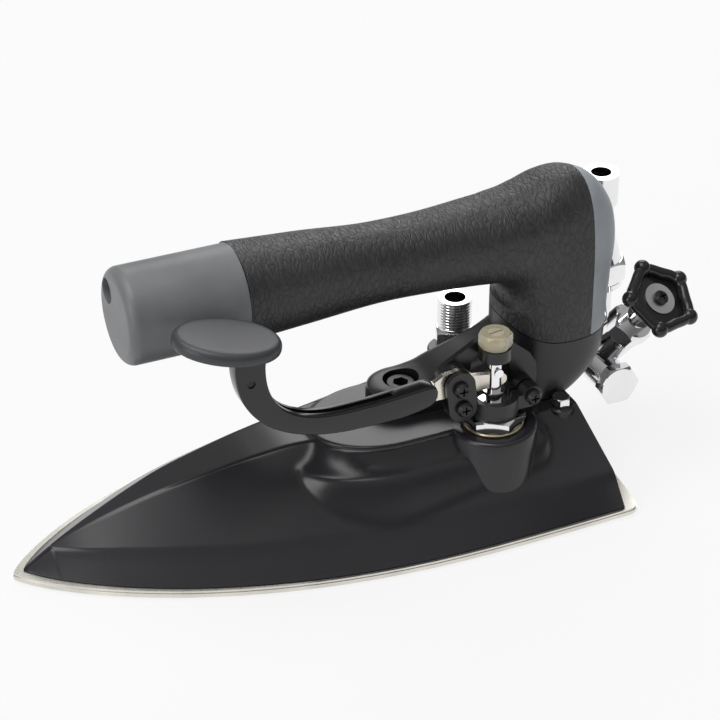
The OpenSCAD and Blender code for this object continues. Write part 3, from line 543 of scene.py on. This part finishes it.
def make_lever():
    outer = bezier((-36.2, 84), (-36.6, 66), (-24, 51.6), (3.8, 50.4), 48)
    inner = bezier((-25.8, 82), (-26, 66), (-17, 58.8), (1, 58.2), 48)
    tip = [(12, 50.2), (22, 50.3), (28, 51.2), (32, 52.2), (33.8, 53.4), (34.8, 55.2), (34.9, 57.2), (34.3, 58.8),
           (33, 59.7), (30, 59.75), (22, 59), (12, 58.3)]
    left = bezier((-40.5, 91), (-38.4, 88.6), (-36.4, 88), (-36.2, 84), 10)
    right = bezier((-25.8, 82), (-25.6, 86), (-24.6, 88), (-22.4, 90), 10)
    side = left + outer[1:] + tip + inner[:0:-1] + right + [(-22.4, 94), (-40.5, 94)]
    bm = bmesh.new()
    lower = [bm.verts.new((x * MM, -33.2 * MM, z * MM)) for x, z in side]
    bm.faces.new(lower)
    got = bmesh.ops.extrude_face_region(bm, geom=bm.faces[:])
    bmesh.ops.translate(bm, vec=(0, 6.4 * MM, 0), verts=[g for g in got["geom"] if isinstance(g, bmesh.types.BMVert)])
    bmesh.ops.recalc_face_normals(bm, faces=bm.faces)
    rim = [e for e in bm.edges if abs(e.verts[0].co.y - e.verts[1].co.y) < 1e-6]
    bmesh.ops.bevel(bm, geom=rim, offset=0.75 * MM, segments=4, profile=0.5, affect="EDGES")
    verts = [tuple(c / MM for c in v.co) for v in bm.verts]
    faces = [tuple(v.index for v in f.verts) for f in bm.faces]
    bm.free()
    arm = piece("arm_skin", verts, faces, "lever", "arm_black", "lever_arm", 40)
    m = pad_frame()
    box = [m @ Vector(p) for p in ((-40, -40, 0), (40, -40, 0), (40, 40, 0), (-40, 40, 0),
                                   (-40, -40, 30), (40, -40, 30), (40, 40, 30), (-40, 40, 30))]
    cut(arm, box, [(3, 2, 1, 0), (4, 5, 6, 7), (0, 1, 5, 4), (1, 2, 6, 5), (2, 3, 7, 6), (3, 0, 4, 7)], angle=40)
    slit = [(x, z) for x, z in inner] + [(22, 58.9), (33, 59.6), (40, 62), (40, 58.4), (22, 57.4)]
    slit += [(x - 1.4 * (1 - i / 48), z - 1.4 * i / 48) for i, (x, z) in reversed(list(enumerate(inner)))]
    cut(arm, *prism(slit, -31.1, -28.9), angle=40)
    cut(arm, *prism([(pin[0], pin[1]) for pin in [(-31 + 1.4 * math.cos(a), 77.2 + 1.4 * math.sin(a))
                    for a in steps(0, 2 * math.pi, 32)[:-1]]], -40, -20), angle=40)
    rings = []
    for d, z in ((1.3, 0.0), (0.9, 0.02), (0.45, 0.18), (0.2, 0.5), (0.05, 1.0), (0.02, 1.7), (0.1, 2.5), (0.35, 3.1),
                 (0.7, 3.6), (1.2, 3.97), (1.8, 4.18), (2.6, 4.25), (4, 4.2), (6, 4.08), (9, 3.95), (11.5, 3.9)):
        rings.append([tuple(m @ Vector(((17.6 - d) * math.cos(2 * math.pi * k / 96),
                                        (12.7 - d) * math.sin(2 * math.pi * k / 96), z))) for k in range(96)])
    piece("pad_skin", *loft(rings), "lever", "pad_grey", "thumb_pad", 50)


def make_thread(name, centre, radius, height, pitch, body):
    """Turned thread as a skin of its own just outside the plain rod."""
    rings = []
    rows = int(height / pitch * 8)
    for i in range(rows + 1):
        z = height * i / rows
        fade = min(1, z / 1.2, (height - z) / 0.9)
        ring = []
        for k in range(72):
            u = (z / pitch - k / 72) % 1
            r = radius + 0.03 + 0.24 * fade * (1 - abs(2 * u - 1))
            a = 2 * math.pi * k / 72
            ring.append((centre[0] + r * math.cos(a), centre[1] + r * math.sin(a), centre[2] + z))
        rings.append(ring)
    bore = [[(centre[0] + 3.8 * math.cos(2 * math.pi * k / 72), centre[1] + 3.8 * math.sin(2 * math.pi * k / 72), z)
             for k in range(72)] for z in (centre[2] + height, centre[2])]
    rings += bore
    rings.append(rings[0])
    return piece(name, *loft(rings, False), body, "bright_metal", None, 50)


def make_wheel():
    # frame of the drain spindle, at the height of the rim
    m = (Matrix.Translation((120.6, 17, 20.5)) @ Matrix.Rotation(math.radians(-73.3), 4, "Z")
         @ Matrix.Rotation(math.radians(38.8), 4, "Y") @ Matrix.Translation((0, 0, 50))
         @ Matrix.Rotation(math.radians(34), 4, "Z"))

    def place(rings):
        return [[tuple(m @ Vector(p)) for p in r] for r in rings]

    def turned(profile, n=120):
        return [[(r * math.cos(2 * math.pi * k / n), r * math.sin(2 * math.pi * k / n), z) for k in range(n)]
                for r, z in profile]
    rim = []
    for k in range(121):
        a = 2 * math.pi * k / 120
        big = 10.9 - 0.7 * math.cos(5 * a + math.pi)
        rim.append([(big * math.cos(a) + 2.05 * math.cos(t) * math.cos(a), big * math.sin(a) + 2.05 * math.cos(t)
                     * math.sin(a), 2.05 * math.sin(t)) for t in steps(0, 2 * math.pi, 24)[:-1]])
    piece("wheel_rim", *loft(place(rim), False), "drain_wheel", "wheel_black", "handwheel", 60)
    for i in range(5):
        a = 2 * math.pi * i / 5
        knob = []
        for t in steps(0.02, math.pi - 0.02, 20):
            knob.append([(12.35 * math.cos(a) + 2.95 * math.sin(t) * math.cos(u), 12.35 * math.sin(a)
                          + 2.95 * math.sin(t) * math.sin(u), 2.85 * math.cos(t)) for u in steps(0, 2 * math.pi, 28)[:-1]])
        piece("wheel_knob_%d" % i, *loft(place(knob)), "drain_wheel", "wheel_black", "handwheel", 60)
    dish = [(2.58, -5.9), (4.2, -5.9), (5.2, -2.4), (10.6, -1.6), (10.6, -0.9), (6.6, -0.75), (6.2, -0.62),
            (5.9, -0.62), (2.58, -0.62)]
    rings = turned(dish)
    rings.append(rings[0])
    piece("wheel_dish", *loft(place(rings), False), "drain_wheel", "wheel_black", "handwheel", 40)


make_cover()
make_handle()
make_lever()
make_wheel()
make_thread("nipple_thread", (70, 27, 41.0), 5.9, 11.75, 1.15, "base")


# ---------------------------------------------------------------- stage and light
def make_stage():
    me = bpy.data.meshes.new("floor")
    s = 3.0
    me.from_pydata([(-s, -s, 0), (s, -s, 0), (s, s, 0), (-s, s, 0)], [], [(0, 1, 2, 3)])
    ob = link(bpy.data.objects.new("floor", me))
    ob.location.z = -0.0003
    m = Nodes("floor_white")
    nt = m.nt
    lp = nt.nodes.new("ShaderNodeLightPath")
    em = m.add("ShaderNodeEmission", Color=(1, 1, 1, 1), Strength=1.0)
    m.out(Base_Color=(0.8, 0.8, 0.8, 1), Roughness=0.9)
    seen = m.math("MAXIMUM", lp.outputs["Is Camera Ray"],
                  m.math("MAXIMUM", lp.outputs["Is Glossy Ray"], lp.outputs["Is Transmission Ray"]))
    mix = nt.nodes.new("ShaderNodeMixShader")
    nt.links.new(m.math("MULTIPLY", seen, 0.82), mix.inputs[0])
    nt.links.new(m.bsdf.outputs[0], mix.inputs[1])
    nt.links.new(em.outputs[0], mix.inputs[2])
    nt.links.new(mix.outputs[0], nt.nodes["Material Output"].inputs[0])
    me.materials.append(m.mat)

    world = bpy.data.worlds.new("world")
    scene.world = world
    world.use_nodes = True
    wt = world.node_tree
    bg = wt.nodes["Background"]
    lp = wt.nodes.new("ShaderNodeLightPath")
    mx = wt.nodes.new("ShaderNodeMath")
    mx.operation = "MAXIMUM"
    wt.links.new(lp.outputs["Is Camera Ray"], mx.inputs[0])
    wt.links.new(lp.outputs["Is Transmission Ray"], mx.inputs[1])
    mr = wt.nodes.new("ShaderNodeMapRange")
    mr.inputs["To Min"].default_value = 0.45
    mr.inputs["To Max"].default_value = 1.0
    wt.links.new(mx.outputs[0], mr.inputs["Value"])
    wt.links.new(mr.outputs[0], bg.inputs["Strength"])
    tc = wt.nodes.new("ShaderNodeTexCoord")
    sep = wt.nodes.new("ShaderNodeSeparateXYZ")
    wt.links.new(tc.outputs["Generated"], sep.inputs[0])
    ramp = wt.nodes.new("ShaderNodeValToRGB")
    e = ramp.color_ramp.elements
    e[0].position, e[0].color = 0.0, (0.22, 0.22, 0.22, 1)
    e[1].position, e[1].color = 0.9, (1, 1, 1, 1)
    wt.links.new(sep.outputs[2], ramp.inputs[0])
    pick = wt.nodes.new("ShaderNodeMix")
    pick.data_type = "RGBA"
    wt.links.new(mx.outputs[0], pick.inputs[0])
    wt.links.new(ramp.outputs[0], pick.inputs[6])
    pick.inputs[7].default_value = (1, 1, 1, 1)
    wt.links.new(pick.outputs[2], bg.inputs["Color"])


def area(name, loc, target, size, power, size_y=None):
    d = bpy.data.lights.new(name, "AREA")
    d.energy = power
    d.size = size
    if size_y:
        d.shape = "RECTANGLE"
        d.size_y = size_y
    ob = link(bpy.data.objects.new(name, d))
    ob.location = loc
    ob.rotation_euler = (Vector(target) - Vector(loc)).to_track_quat("-Z", "Y").to_euler()
    return ob


make_stage()
area("key_top", (-0.25, 0.05, 1.0), (0, 0, 0.05), 0.7, 5.5)
area("side_left", (-1.0, -0.35, 0.45), (0, 0, 0.05), 0.5, 3.0)
area("rim_back", (0.5, 0.8, 0.6), (0, 0, 0.05), 0.6, 3.0)

scene.view_settings.view_transform = "Standard"
